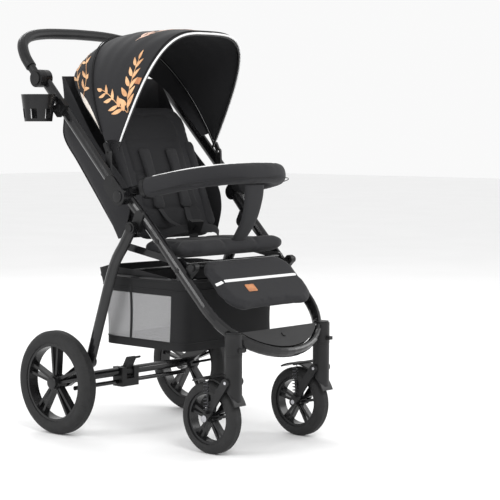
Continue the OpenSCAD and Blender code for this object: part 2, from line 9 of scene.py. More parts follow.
import bpy
import bmesh
import numpy as np
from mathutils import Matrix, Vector

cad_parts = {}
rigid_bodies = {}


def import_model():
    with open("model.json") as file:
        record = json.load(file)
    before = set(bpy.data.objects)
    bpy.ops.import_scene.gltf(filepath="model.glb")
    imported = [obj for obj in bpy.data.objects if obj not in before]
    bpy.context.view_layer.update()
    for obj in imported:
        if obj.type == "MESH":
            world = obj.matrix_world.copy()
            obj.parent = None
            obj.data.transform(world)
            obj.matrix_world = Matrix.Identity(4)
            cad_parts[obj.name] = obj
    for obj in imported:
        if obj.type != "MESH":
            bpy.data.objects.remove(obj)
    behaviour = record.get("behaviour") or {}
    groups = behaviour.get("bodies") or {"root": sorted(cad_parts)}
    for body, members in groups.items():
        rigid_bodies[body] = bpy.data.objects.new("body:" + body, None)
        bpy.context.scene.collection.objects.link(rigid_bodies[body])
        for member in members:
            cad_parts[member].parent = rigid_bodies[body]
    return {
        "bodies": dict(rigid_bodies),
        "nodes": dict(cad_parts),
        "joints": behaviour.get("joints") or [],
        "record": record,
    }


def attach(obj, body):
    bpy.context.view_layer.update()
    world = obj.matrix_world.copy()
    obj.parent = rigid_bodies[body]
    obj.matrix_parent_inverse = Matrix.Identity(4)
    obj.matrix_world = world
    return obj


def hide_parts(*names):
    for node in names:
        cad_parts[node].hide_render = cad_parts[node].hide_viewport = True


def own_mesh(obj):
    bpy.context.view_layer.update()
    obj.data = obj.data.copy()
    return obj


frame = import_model()

LOG = logging.getLogger("stroller")
MM = 0.001
Point = tuple[float, float, float]
Side = tuple[float, float]


def along(start: Side, angle: float, reach: float) -> Side:
    """Point of the side view at a reach from start, in millimetres."""
    a = math.radians(angle)
    return (start[0] + reach * math.cos(a), start[1] + reach * math.sin(a))


@dataclass(frozen=True)
class Layout:
    """Points of the frame's side view and half widths, in millimetres, as the CAD source has them."""

    fold: Side = (20.0, 647.0)
    up: float = 46.0
    down: float = 225.5
    bight: Side = (38.0, 515.0)
    seat_top: float = 525.0
    seat_under: float = 487.0
    seat_front: float = -194.0
    calf: Side = (-202.0, 471.0)
    calf_slope: float = 223.0
    hood: Side = (83.0, 759.0)
    rim_lean: float = 117.0
    mid_lean: float = 62.0
    rear_lean: float = 46.0
    bumper: Side = (-2.0, 663.0)
    bumper_lean: float = 169.0
    back: float = 68.0


AT = Layout()


class Body(str, Enum):
    """The moving bodies that new pieces ride on."""

    FRONT = "front_frame"
    UPPER = "upper_frame"
    HOOD = "hood_front"
    BACK = "backrest"
    CALF = "calf_rest"
    BUMPER = "bumper"


# ---------------------------------------------------------------- shader writing


class Val:
    """A shader socket that can be used in sums."""

    def __init__(self, shader: "Shader", socket: bpy.types.NodeSocket) -> None:
        """Keeps the socket and the shader it belongs to."""
        self.shader, self.socket = shader, socket

    def math(self, operation: str, other: "Val | float | None" = None, flip: bool = False) -> "Val":
        """Adds one Math node.

        Args:
            operation: the Math node's operation.
            other: the second value, if the operation has one.
            flip: puts the second value first.
        Returns:
            The result.
        """
        pair = [self, other] if other is not None else [self]
        if flip:
            pair.reverse()
        return self.shader.node("ShaderNodeMath", {"operation": operation}, dict(enumerate(pair)))

    def __add__(self, o: "Val | float") -> "Val":
        """Sum."""
        return self.math("ADD", o)

    __radd__ = __add__

    def __mul__(self, o: "Val | float") -> "Val":
        """Product."""
        return self.math("MULTIPLY", o)

    __rmul__ = __mul__

    def __sub__(self, o: "Val | float") -> "Val":
        """Difference."""
        return self.math("SUBTRACT", o)

    def __rsub__(self, o: "Val | float") -> "Val":
        """Difference from a number."""
        return self.math("SUBTRACT", o, True)

    def __truediv__(self, o: "Val | float") -> "Val":
        """Quotient."""
        return self.math("DIVIDE", o)

    def __gt__(self, o: "Val | float") -> "Val":
        """1 where greater."""
        return self.math("GREATER_THAN", o)

    def __lt__(self, o: "Val | float") -> "Val":
        """1 where less."""
        return self.math("LESS_THAN", o)

    def sin(self) -> "Val":
        """Sine."""
        return self.math("SINE")

    def size(self) -> "Val":
        """Absolute value."""
        return self.math("ABSOLUTE")


class Shader:
    """A material being written."""

    def __init__(self, name: str) -> None:
        """Starts a Principled material of that name."""
        self.material = bpy.data.materials.new(name)
        self.material.use_nodes = True
        self.tree = self.material.node_tree
        self.surface = self.tree.nodes["Principled BSDF"]
        self._place: Val | None = None

    def node(self, kind: str, settings: dict, inputs: dict, output: int | str = 0) -> Val:
        """Adds any node.

        Args:
            kind: the node's type.
            settings: attributes set first; "stops" fills a colour ramp.
            inputs: socket name or number to a value or link.
            output: which output comes back.
        Returns:
            The chosen output.
        """
        n = self.tree.nodes.new(kind)
        for key, value in settings.items():
            if key == "stops":
                ramp = n.color_ramp
                for i, (pos, colour) in enumerate(value):
                    e = ramp.elements[i] if i < 2 else ramp.elements.new(pos)
                    e.position, e.color = pos, (*colour, 1)
            else:
                setattr(n, key, value)
        for key, value in inputs.items():
            self.put(n.inputs[key], value)
        return Val(self, n.outputs[output])

    def put(self, socket: bpy.types.NodeSocket, value: "Val | float | Sequence[float]") -> None:
        """Links or sets one input."""
        if isinstance(value, Val):
            self.tree.links.new(value.socket, socket)
        else:
            socket.default_value = value

    def place(self) -> Val:
        """Object coordinates."""
        if self._place is None:
            self._place = self.node("ShaderNodeTexCoord", {}, {}, "Object")
        return self._place

    def axes(self) -> tuple[Val, Val, Val]:
        """The three object coordinates."""
        n = self.tree.nodes.new("ShaderNodeSeparateXYZ")
        self.put(n.inputs[0], self.place())
        return tuple(Val(self, o) for o in n.outputs)

    def noise(self, scale: float, detail: float = 2.0, stretch: Point | None = None) -> Val:
        """Noise over the surface, 0 to 1."""
        where = self.place()
        if stretch:
            where = self.node("ShaderNodeMapping", {}, {"Vector": where, "Scale": stretch})
        return self.node("ShaderNodeTexNoise", {}, {"Vector": where, "Scale": scale, "Detail": detail})

    def cells(self, scale: float) -> Val:
        """Distance to the nearest cell centre."""
        return self.node("ShaderNodeTexVoronoi", {}, {"Vector": self.place(), "Scale": scale})

    def ramp(self, value: Val, stops: list[tuple[float, Point]]) -> Val:
        """Colours picked by a value."""
        return self.node("ShaderNodeValToRGB", {"stops": stops}, {0: value})

    def bump(self, height: Val, distance: float, strength: float = 1.0) -> None:
        """Sends a height to the normal."""
        n = self.node("ShaderNodeBump", {}, {"Height": height, "Distance": distance, "Strength": strength})
        self.put(self.surface.inputs["Normal"], n)

    def set(self, **values: "Val | float | Sequence[float]") -> "Shader":
        """Sets or links Principled inputs; underscores stand for spaces."""
        for key, value in values.items():
            self.put(self.surface.inputs[key.replace("_", " ")], value)
        return self


@dataclass(frozen=True)
class Fabric:
    """Woven cloth with a fleck, a fine thread bump and soft creases."""

    name: str
    dark: Point
    light: Point
    thread: float = 620.0
    crease: float = 0.0014
    sheen: float = 0.06

    def make(self) -> bpy.types.Material:
        """Writes the material."""
        s = Shader(self.name)
        x, y, z = s.axes()
        k = self.thread * 2 * math.pi / 2
        weave = ((x * k).sin() * (z * k + y * k).sin() + 1) * 0.5
        fleck = s.noise(1500.0, 3.0)
        s.set(Base_Color=s.ramp(fleck * 0.7 + weave * 0.3, [(0.32, self.dark), (0.68, self.light)]))
        s.set(Roughness=fleck * 0.12 + 0.8, Sheen_Weight=self.sheen, Sheen_Roughness=0.5,
              Specular_IOR_Level=0.3)
        creases = s.noise(9.0, 4.0)
        s.bump(creases * self.crease + weave * 0.00006 + fleck * 0.0001, 1.0)
        return s.material


@dataclass(frozen=True)
class Netting:
    """Open knitted mesh that shows what is behind it."""

    name: str
    colour: Point
    hole: float = 0.36

    def make(self) -> bpy.types.Material:
        """Writes the material."""
        s = Shader(self.name)
        x, y, z = s.axes()
        k = 2 * math.pi / 0.0034
        holes = ((x * k + y * k).sin() * (z * k).sin()).size() > self.hole
        s.set(Base_Color=(*self.colour, 1), Roughness=0.75, Alpha=1 - holes * 0.82, Sheen_Weight=0.2)
        s.bump(s.noise(14.0, 3.0) * 0.0012, 1.0)
        return s.material


@dataclass(frozen=True)
class Coat:
    """Painted or moulded hard surface."""

    name: str
    colour: Point
    rough: float
    metallic: float = 0.0
    grain: float = 0.00004
    grain_scale: float = 900.0
    coat: float = 0.0

    def make(self) -> bpy.types.Material:
        """Writes the material."""
        s = Shader(self.name)
        wear, grain = s.noise(22.0, 5.0), s.noise(self.grain_scale, 2.0)
        lift = tuple(min(1.0, c * 1.35 + 0.004) for c in self.colour)
        s.set(Base_Color=s.ramp(wear, [(0.35, self.colour), (0.72, lift)]),
              Roughness=wear * 0.12 + (self.rough - 0.06), Metallic=self.metallic, Coat_Weight=self.coat,
              Coat_Roughness=0.15, Specular_IOR_Level=0.28)
        s.bump(grain * self.grain + wear * 0.00012, 1.0)
        return s.material


@dataclass(frozen=True)
class TyreRubber:
    """Rubber with fine tread bars round the hub."""

    name: str
    hub: Side
    bars: int
    inner: float

    def make(self) -> bpy.types.Material:
        """Writes the material."""
        s = Shader(self.name)
        x, y, z = s.axes()
        dy, dz = y - self.hub[0] * MM, z - self.hub[1] * MM
        angle = dz.math("ARCTAN2", dy)
        radius = (dy * dy + dz * dz).math("SQRT")
        tread = radius > self.inner * MM
        lines = (angle * self.bars + (x * 260.0).sin() * 1.2).sin() > -0.1
        rings = (radius * 2100.0).sin()
        dust = s.noise(60.0, 4.0)
        s.set(Base_Color=s.ramp(dust, [(0.3, (0.005, 0.005, 0.0053)), (0.75, (0.014, 0.014, 0.0145))]),
              Roughness=dust * 0.15 + 0.72)
        s.bump(lines * tread * 0.0012 + rings * (1 - tread) * 0.0001 + dust * 0.0003, 1.0)
        return s.material


@dataclass(frozen=True)
class Leather:
    """Tan leather with pores and a tone that varies at random."""

    name: str = "tan_leather"

    def make(self) -> bpy.types.Material:
        """Writes the material."""
        s = Shader(self.name)
        pores = s.cells(900.0)
        tone = s.noise(70.0, 4.0)
        s.set(Base_Color=s.ramp(tone, [(0.3, (0.33, 0.12, 0.045)), (0.7, (0.55, 0.23, 0.09))]),
              Roughness=tone * 0.2 + 0.42)
        s.bump(pores * 0.0003 + tone * 0.0002, 1.0)
        return s.material


@dataclass(frozen=True)
class Print:
    """Ink printed on cloth."""

    name: str
    dark: Point
    light: Point

    def make(self) -> bpy.types.Material:
        """Writes the material."""
        s = Shader(self.name)
        wash, fleck = s.noise(26.0, 3.0), s.noise(1500.0, 2.0)
        s.set(Base_Color=s.ramp(wash * 0.8 + fleck * 0.2, [(0.34, self.dark), (0.66, self.light)]),
              Roughness=fleck * 0.1 + 0.8, Sheen_Weight=0.15)
        s.bump(fleck * 0.0001, 1.0)
        return s.material


class Finish(Enum):
    """Every finish on the stroller."""

    CLOTH = Fabric("charcoal_cloth", (0.0085, 0.0085, 0.0095), (0.022, 0.022, 0.0245))
    BAND = Fabric("black_band", (0.004, 0.004, 0.0045), (0.010, 0.010, 0.011), 500.0, 0.0006)
    LINING = Fabric("dark_lining", (0.007, 0.007, 0.0078), (0.017, 0.017, 0.019), 700.0, 0.001)
    PIPING = Fabric("white_piping", (0.66, 0.66, 0.66), (0.86, 0.86, 0.86), 500.0, 0.0002)
    WEBBING = Fabric("webbing", (0.008, 0.008, 0.009), (0.026, 0.026, 0.028), 260.0, 0.0002)
    NET = Netting("grey_netting", (0.30, 0.30, 0.305))
    PAINT = Coat("satin_black_paint", (0.0045, 0.0045, 0.005), 0.2, 0.0, 0.00001, 1400.0, 0.25)
    MOULD = Coat("moulded_plastic", (0.0075, 0.0075, 0.008), 0.42, 0.0, 0.00006, 1100.0)
    GLOSSY = Coat("smooth_plastic", (0.005, 0.005, 0.0055), 0.28, 0.0, 0.00002, 700.0, 0.1)
    FOAM = Coat("grip_skin", (0.006, 0.006, 0.0065), 0.42, 0.0, 0.0002, 420.0)
    STEEL = Coat("brushed_steel", (0.42, 0.42, 0.44), 0.3, 1.0, 0.00005, 500.0)
    SPRING = Coat("dark_spring", (0.06, 0.06, 0.065), 0.3, 0.9)
    REAR_TYRE = TyreRubber("rear_tyre_rubber", (237.0, 140.0), 96, 128.0)
    FRONT_TYRE = TyreRubber("front_tyre_rubber", (-249.87, 92.5), 66, 82.0)
    LEATHER = Leather()
    GOLD = Print("gold_print", (0.48, 0.22, 0.09), (0.80, 0.50, 0.27))
    PEACH = Print("peach_print", (0.62, 0.36, 0.27), (0.86, 0.64, 0.52))
    CREAM = Print("cream_print", (0.70, 0.62, 0.54), (0.90, 0.85, 0.79))

    def material(self) -> bpy.types.Material:
        """The material, written once."""
        spec = self.value
        return bpy.data.materials.get(spec.name) or spec.make()


# ---------------------------------------------------------------- mesh tools


def calm() -> None:
    """Deselects everything."""
    for o in bpy.context.selected_objects:
        o.select_set(False)


def focus(obj: bpy.types.Object) -> None:
    """Makes obj the only selected and active object."""
    calm()
    obj.select_set(True)
    bpy.context.view_layer.objects.active = obj


def dress(obj: bpy.types.Object, *finishes: Finish) -> bpy.types.Object:
    """Gives a piece its materials in slot order."""
    obj.data.materials.clear()
    for f in finishes:
        obj.data.materials.append(f.material())
    return obj


def modify(obj: bpy.types.Object, kind: str, **settings: object) -> None:
    """Adds a modifier with its settings and applies it."""
    focus(obj)
    m = obj.modifiers.new(kind.lower(), kind)
    for key, value in settings.items():
        setattr(m, key, value)
    bpy.ops.object.modifier_apply(modifier=m.name)


def smooth(obj: bpy.types.Object, angle: float = 40.0) -> None:
    """Shades a piece smooth across edges flatter than angle degrees."""
    focus(obj)
    bpy.ops.object.shade_smooth_by_angle(angle=math.radians(angle))


def points(obj: bpy.types.Object) -> np.ndarray:
    """The vertices of a piece, in metres."""
    out = np.empty(len(obj.data.vertices) * 3)
    obj.data.vertices.foreach_get("co", out)
    return out.reshape(-1, 3)


def move_points(obj: bpy.types.Object, new: np.ndarray) -> None:
    """Puts the vertices of a piece in new places."""
    obj.data.vertices.foreach_set("co", np.ascontiguousarray(new).ravel())
    obj.data.update()


def grid(name: str, rows: np.ndarray, wrap: bool = False) -> bpy.types.Object:
    """A sheet over rows of points.

    Args:
        name: the piece's name.
        rows: an array of rows by columns by 3, in millimetres.
        wrap: joins the last column to the first.
    Returns:
        The new piece.
    """
    n, m = rows.shape[:2]
    quads = [(i * m + k, i * m + (k + 1) % m, (i + 1) * m + (k + 1) % m, (i + 1) * m + k)
             for i in range(n - 1) for k in range(m if wrap else m - 1)]
    mesh = bpy.data.meshes.new(name)
    mesh.from_pydata((rows.reshape(-1, 3) * MM).tolist(), [], quads)
    obj = bpy.data.objects.new(name, mesh)
    bpy.context.scene.collection.objects.link(obj)
    return obj


def face_out(obj: bpy.types.Object) -> None:
    """Recalculates the normals of a closed piece."""
    focus(obj)
    bpy.ops.object.mode_set(mode="EDIT")
    bpy.ops.mesh.select_all(action="SELECT")
    bpy.ops.mesh.normals_make_consistent(inside=False)
    bpy.ops.object.mode_set(mode="OBJECT")


def sweep(name: str, path: np.ndarray, width: float, depth: float, flat: Sequence[float] = (0, 0, 1),
          sides: int = 12, power: float = 2.0, closed: bool = False) -> bpy.types.Object:
    """A closed bar swept along a path.

    Args:
        name: the piece's name.
        path: points in millimetres.
        width: half size across flat.
        depth: half size the other way.
        flat: direction that the section's depth leans to.
        sides: corners of the section.
        power: 2 for an oval, more for a squarer section.
        closed: joins the path's ends.
    Returns:
        The new piece.
    """
    path = np.asarray(path, float)
    if closed:
        t = np.roll(path, -1, 0) - np.roll(path, 1, 0)
    else:
        t = np.gradient(path, axis=0)
    t /= np.linalg.norm(t, axis=1)[:, None]
    u = np.cross(t, np.asarray(flat, float))
    u /= np.linalg.norm(u, axis=1)[:, None]
    v = np.cross(u, t)
    a = np.linspace(0, 2 * np.pi, sides, endpoint=False) + np.pi / sides
    c = np.sign(np.cos(a)) * np.abs(np.cos(a)) ** (2 / power) * width
    s = np.sign(np.sin(a)) * np.abs(np.sin(a)) ** (2 / power) * depth
    rows = path[:, None] + u[:, None] * c[None, :, None] + v[:, None] * s[None, :, None]
    if closed:
        rows = np.concatenate([rows, rows[:1]])
    obj = grid(name, rows, wrap=True)
    focus(obj)
    bpy.ops.object.mode_set(mode="EDIT")
    bpy.ops.mesh.select_all(action="SELECT")
    if closed:
        bpy.ops.mesh.remove_doubles(threshold=1e-6)
    else:
        bpy.ops.mesh.select_all(action="DESELECT")
        bpy.ops.mesh.select_non_manifold()
        bpy.ops.mesh.fill_holes(sides=0)
    bpy.ops.mesh.select_all(action="SELECT")
    bpy.ops.mesh.normals_make_consistent(inside=False)
    bpy.ops.object.mode_set(mode="OBJECT")
    smooth(obj, 50)
    return obj


def smooth_path(nodes: Sequence[Sequence[float]], steps: int = 8) -> np.ndarray:
    """A smooth curve through points."""
    p = np.asarray(nodes, float)
    out = []
    for i in range(len(p) - 1):
        a, b, c, d = p[max(i - 1, 0)], p[i], p[i + 1], p[min(i + 2, len(p) - 1)]
        for t in np.arange(steps) / steps:
            out.append(0.5 * (2 * b + (c - a) * t + (2 * a - 5 * b + 4 * c - d) * t * t
                              + (3 * b - a - 3 * c + d) * t ** 3))
    return np.array(out + [p[-1]])


def slab(name: str, start: Side, angle: float, length: float, half: float, thick: float,
         corner: float, lift: float = 0.0) -> bpy.types.Object:
    """A rounded block that lies along a line of the side view.

    Args:
        name: the piece's name.
        start: where it starts, in millimetres.
        angle: the line's angle.
        length: its length along the line.
        half: half its width.
        thick: its thickness.
        corner: radius of its corners seen from the front.
        lift: distance of its middle plane from the line.
    Returns:
        The new piece.
    """
    edge = min(thick * 0.46, corner * 0.8, 14)
    turn = np.radians(np.linspace(0, 90, 9))
    corners = ((1, 1), (-1, 1), (-1, -1), (1, -1))
    quarters = [(sx, sy, turn + q * np.pi / 2) for q, (sx, sy) in enumerate(corners)]
    rows = []
    for low in (-1, 1):
        for t in np.linspace(-np.pi / 2, 0, 6) if low < 0 else np.linspace(0, np.pi / 2, 6):
            radius = corner - edge * (1 - np.cos(t))
            height = low * (thick / 2 - edge) + edge * np.sin(t)
            rows.append(np.concatenate([np.stack([
                sx * (half - corner) + radius * np.cos(q), sy * (length / 2 - corner) + radius * np.sin(q),
                np.full_like(q, height)], 1) for sx, sy, q in quarters]))
    rows = np.array(rows)
    count = rows.shape[1]
    a = math.radians(angle)
    reach, up_ = rows[..., 1] + length / 2, rows[..., 2] + lift
    placed = np.stack([rows[..., 0], start[0] + reach * math.cos(a) - up_ * math.sin(a),
                       start[1] + reach * math.sin(a) + up_ * math.cos(a)], -1).reshape(-1, 3) * MM
    last = (len(rows) - 1) * count
    faces = [(r * count + k, r * count + (k + 1) % count,
              (r + 1) * count + (k + 1) % count, (r + 1) * count + k)
             for r in range(len(rows) - 1) for k in range(count)]
    faces += [tuple(range(count))[::-1], tuple(range(last, last + count))]
    mesh = bpy.data.meshes.new(name)
    mesh.from_pydata(placed.tolist(), [], faces)
    obj = bpy.data.objects.new(name, mesh)
    bpy.context.scene.collection.objects.link(obj)
    face_out(obj)
    return obj


def inflate(obj: bpy.types.Object, voxel: float, cap: float, pressure: float = 4.0) -> None:
    """Swells a pad with a cloth simulation and keeps the result in its mesh.

    Args:
        obj: the pad, slightly smaller than it should end.
        voxel: remesh size in millimetres.
        cap: how far a point may move, in millimetres.
        pressure: the air inside.
    """
    modify(obj, "REMESH", mode="VOXEL", voxel_size=voxel * MM)
    rest = points(obj)
    m = obj.modifiers.new("cloth", "CLOTH")
    m.settings.use_pressure = True
    m.settings.uniform_pressure_force = pressure
    m.settings.effector_weights.gravity = 0
    m.settings.quality = 4
    m.point_cache.frame_end = 20
    scene = bpy.context.scene
    for frame in range(1, 21):
        scene.frame_set(frame)
    shown = obj.evaluated_get(bpy.context.evaluated_depsgraph_get())
    out = np.empty(len(shown.data.vertices) * 3)
    shown.data.vertices.foreach_get("co", out)
    step = out.reshape(-1, 3) - rest
    length = np.linalg.norm(step, axis=1)[:, None]
    step *= np.minimum(1, cap * MM / np.maximum(length, 1e-9))
    obj.modifiers.remove(m)
    scene.frame_set(1)
    move_points(obj, rest + step)


def dent(obj: bpy.types.Object, distance: Callable[[np.ndarray], np.ndarray], depth: float, width: float,
         towards: Sequence[float]) -> None:
    """Sews a channel into a pad.

    Args:
        obj: the pad.
        distance: gives each point's distance from the seam, in millimetres.
        depth: how deep the seam is pulled in.
        width: how wide the channel is.
        towards: direction that the surface is pulled in.
    """
    co = points(obj)
    pull = np.exp(-(distance(co * 1000) / width) ** 2)[:, None] * depth * MM
    move_points(obj, co + pull * np.asarray(towards, float)[None])


def finish_pad(obj: bpy.types.Object) -> None:
    modify(obj, "SUBSURF", levels=1, render_levels=1)
    focus(obj)
    bpy.ops.object.shade_smooth()


def cloth_area(obj: bpy.types.Object) -> float:
    """Surface of a thin sheet's middle, in square metres."""
    bm = bmesh.new()
    bm.from_mesh(obj.data)
    area = sum(f.calc_area() for f in bm.faces)
    bm.free()
    return area


def declare_sheet(area: float, ratio: float) -> None:
    """Works out the length of a sheet's flat cut from its area and width to length ratio, and leaves it unused."""
    length = math.sqrt(area / ratio)


# ---------------------------------------------------------------- sub-assemblies


@dataclass
class Canopy:
    """Hood sheets, bows, piping and print."""

    height: float = 345.0
    base_x: float = 207.2
    bow_r: float = 3.5
    flat_keep: float = 0.07
    columns: int = 72

    def half(self, lean: float) -> float:
        """Half the hood's width at a lean."""
        rim, mid, rear = AT.rim_lean, AT.mid_lean, AT.rear_lean
        return (self.base_x - 24 * max(0, (lean - mid) / (rim - mid)) - 26 * max(0, (mid - lean) / (mid - rear)))

    def radius(self, lean: float) -> float:
        """The hood's height at a lean."""
        drop = max(0, (AT.mid_lean - lean) / (AT.mid_lean - AT.rear_lean))
        return self.height + (0 if lean < AT.mid_lean else 4) - 22 * drop

    def power(self, lean: float) -> float:
        """How square the hood is at a lean."""
        if lean >= AT.mid_lean:
            return 2.2 + 1.4 * (lean - AT.mid_lean) / (AT.rim_lean - AT.mid_lean)
        return 2.2 + 1.6 * (AT.mid_lean - lean) / (AT.mid_lean - AT.rear_lean)

    def at(self, t: float, lean: float, out: float) -> Point:
        """A point of the hood.

        Args:
            t: degrees over the hood from one side to the other.
            lean: the bow's angle.
            out: distance outside the bow.
        Returns:
            The point, in millimetres.
        """
        p = 2 / self.power(lean)
        c, s = math.cos(math.radians(t)), max(0.0, math.sin(math.radians(t)))
        r = (self.radius(lean) + out) * s ** p
        y, z = along(AT.hood, lean, r)
        return ((self.half(lean) + out) * abs(c) ** p * math.copysign(1, c), y, z)

    def sag(self, t: float, lean: float) -> float:
        """How far the cloth dips between two bows."""
        a = (lean - AT.mid_lean) / (AT.rim_lean - AT.mid_lean)
        if a < 0:
            return 0.0
        top = math.sin(math.radians(t)) ** 2
        return top * (26.0 * math.sin(math.pi * a) + 1.4 * math.sin(7 * math.pi * a) * math.sin(9 * a + t / 7))

    def cloth(self, name: str, start: float, end: float, steps: int, out: float, base: float) -> bpy.types.Object:
        """One curved sheet of the hood between two leans."""
        rows = []
        for lean in np.linspace(start, end, steps):
            t0 = math.degrees(math.asin((base / self.radius(lean)) ** (self.power(lean) / 2)))
            ts = np.linspace(t0, 180 - t0, self.columns + 1)
            rows.append([self.at(t, lean, out - self.sag(t, lean)) for t in ts])
        obj = grid(name, np.array(rows))
        area = cloth_area(obj)
        modify(obj, "SOLIDIFY", thickness=1.6 * MM, offset=0)
        face_out(obj)
        smooth(obj, 60)
        dress(obj, Finish.CLOTH)
        declare_sheet(area, 1.6)
        return obj

    def ribbon(self, name: str, lean: float, out: float, size: float, base: float) -> bpy.types.Object:
        """Piping that runs over the hood at a lean."""
        t0 = math.degrees(math.asin((base / self.radius(lean)) ** (self.power(lean) / 2)))
        path = [self.at(t, lean, out) for t in np.linspace(t0, 180 - t0, 91)]
        a = math.radians(lean)
        return sweep(name, np.array(path), size, size, (0, -math.sin(a), math.cos(a)), 8)

    def fold_flat(self, obj: bpy.types.Object) -> None:
        """Gives a piece of the hood its own copy of its mesh."""
        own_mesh(obj)

    def outside(self, t: float, lean: float) -> float:
        """Height of the cloth's outer face above the bows."""
        return 6.1 - self.sag(t, lean) if lean > AT.mid_lean else 10.1

    def scale(self, t: float, lean: float) -> tuple[float, float]:
        """Millimetres to a degree over the hood and to a degree of lean."""
        o = Vector(self.at(t, lean, 6))
        return (Vector(self.at(t + 0.5, lean, 6)) - o).length * 2, (Vector(self.at(t, lean + 0.5, 6)) - o).length * 2

    def on_cloth(self, centre: Side, across: float, forward: float) -> Point:
        """A point some millimetres from a place (t, lean) on the outside of the hood."""
        a, b = self.scale(*centre)
        front = centre[1] > AT.mid_lean
        low, high = AT.rear_lean + 0.4, AT.mid_lean - 2.2
        if front:
            low, high = AT.mid_lean + 1.2, AT.rim_lean - 0.8
        t, lean = centre[0] + across / a, min(max(centre[1] + forward / b, low), high)
        return self.at(t, lean, self.outside(t, lean))

    def leaf(self, centre: Side, turn: float, length: float, width: float) -> list[Point]:
        """Outline of one printed leaf, laid on the hood."""
        out = []
        c, s = math.cos(math.radians(turn)), math.sin(math.radians(turn))
        for k in range(16):
            a = 2 * math.pi * k / 16
            u = length / 2 * math.cos(a)
            v = width / 2 * math.sin(a) * (1 - 0.4 * math.cos(a)) * (0.35 + 0.65 * abs(math.sin(a)))
            v += width * 0.18 * math.cos(math.pi * u / length)
            out.append(self.on_cloth(centre, u * c - v * s, u * s + v * c))
        return out

    def printed(self, name: str, shapes: list[list[Point]], finish: Finish) -> bpy.types.Object:
        """Thin printed shapes as one piece."""
        verts, faces = [], []
        for outline in shapes:
            base = len(verts)
            verts += [tuple(c * MM for c in p) for p in outline]
            n = len(outline)
            half = n // 2
            faces += [(base + k, base + k + 1, base + n - 2 - k, base + n - 1 - k) for k in range(half - 1)]
        mesh = bpy.data.meshes.new(name)
        mesh.from_pydata(verts, [], faces)
        obj = bpy.data.objects.new(name, mesh)
        bpy.context.scene.collection.objects.link(obj)
        dress(obj, finish)
        modify(obj, "SOLIDIFY", thickness=0.5 * MM, offset=0)
        return obj

    def sprig(self, stem: Sequence[Side], leaves: int, size: float) -> list[list[Point]]:
        """A curved stem with leaves on both sides and one at its tip.

        Args:
            stem: places (t, lean) that the stem passes.
            leaves: how many pairs it has.
            size: length of its lowest leaves, in millimetres.
        Returns:
            Outlines on the hood.
        """
        line = smooth_path([(*p, 0) for p in stem], 8)[:, :2]
        shapes, left, right = [], [], []
        for i, here in enumerate(line):
            a, b = self.scale(*here)
            ahead, back = line[min(i + 1, len(line) - 1)], line[max(i - 1, 0)]
            turn = math.degrees(math.atan2((ahead[1] - back[1]) * b, (ahead[0] - back[0]) * a))
            c, s = math.cos(math.radians(turn + 90)), math.sin(math.radians(turn + 90))
            left.append(self.on_cloth(tuple(here), 0.8 * c, 0.8 * s))
            right.append(self.on_cloth(tuple(here), -0.8 * c, -0.8 * s))
            at = (i + 1) * leaves / len(line)
            if i == len(line) - 1 or int(at) != int(i * leaves / len(line)):
                long_ = size * (1.05 - 0.35 * i / len(line))
                for side_ in ((0,) if i == len(line) - 1 else (-1, 1)):
                    angle = turn + side_ * 30
                    c, s = math.cos(math.radians(angle)) * long_ * 0.55, math.sin(math.radians(angle)) * long_ * 0.55
                    shift = 0.22 * side_
                    centre = (here[0] + (c * (1 + shift)) / a, here[1] + s * (1 + shift) / b)
                    shapes.append(self.leaf(centre, angle, long_, long_ * 0.3))
        shapes.append(left + right[::-1])
        return shapes

    def prints(self) -> dict[Body, list[bpy.types.Object]]:
        """The printed leaves and petals on both sides of the hood."""

        def flip(stem: Sequence[Side]) -> list[Side]:
            """The same stem on the other side."""
            return [(180 - t, lean) for t, lean in stem]

        near = [([(172, 113), (167, 94), (156, 74)], 5, 40),
                ([(172, 114), (166, 108), (156, 106), (144, 105)], 6, 42)]
        top = [([(124, 92), (104, 99), (82, 106)], 7, 34)]
        rear = [([(158, 50), (144, 58), (118, 56)], 4, 36), ([(150, 49), (137, 50), (122, 51)], 3, 32)]
        gold, back = [], []
        for stem, leaves, size in near:
            gold += self.sprig(stem, leaves, size) + self.sprig(flip(stem), leaves, size)
        for stem, leaves, size in rear:
            back += self.sprig(stem, leaves, size) + self.sprig(flip(stem), leaves, size)
        peach = [shape for stem, leaves, size in top for shape in self.sprig(stem, leaves, size)]
        petals = []
        for k in (-1, 1):
            middle = (90 + k * 73, 52.5)
            a, b = self.scale(*middle)
            ends = ((90 + k * 60 - middle[0]) * a, (48 - middle[1]) * b)
            turn = math.degrees(math.atan2(ends[1], ends[0]))
            petals.append(self.leaf(middle, turn, 118, 34))
        tag = ((-9, -15), (-9, -8), (-9, -1), (-9, 6), (9, 6), (9, -1), (9, -8), (9, -15))
        tags = [[self.on_cloth((157.5, 114.2), u, v) for u, v in tag]]
        return {Body.HOOD: [self.printed("hood_print_sprigs", gold, Finish.GOLD),
                            self.printed("hood_print_top", peach, Finish.PEACH),
                            self.printed("hood_tag", tags, Finish.LEATHER)],
                Body.UPPER: [self.printed("hood_print_rear", back, Finish.GOLD),
                             self.printed("hood_print_petals", petals, Finish.CREAM)]}

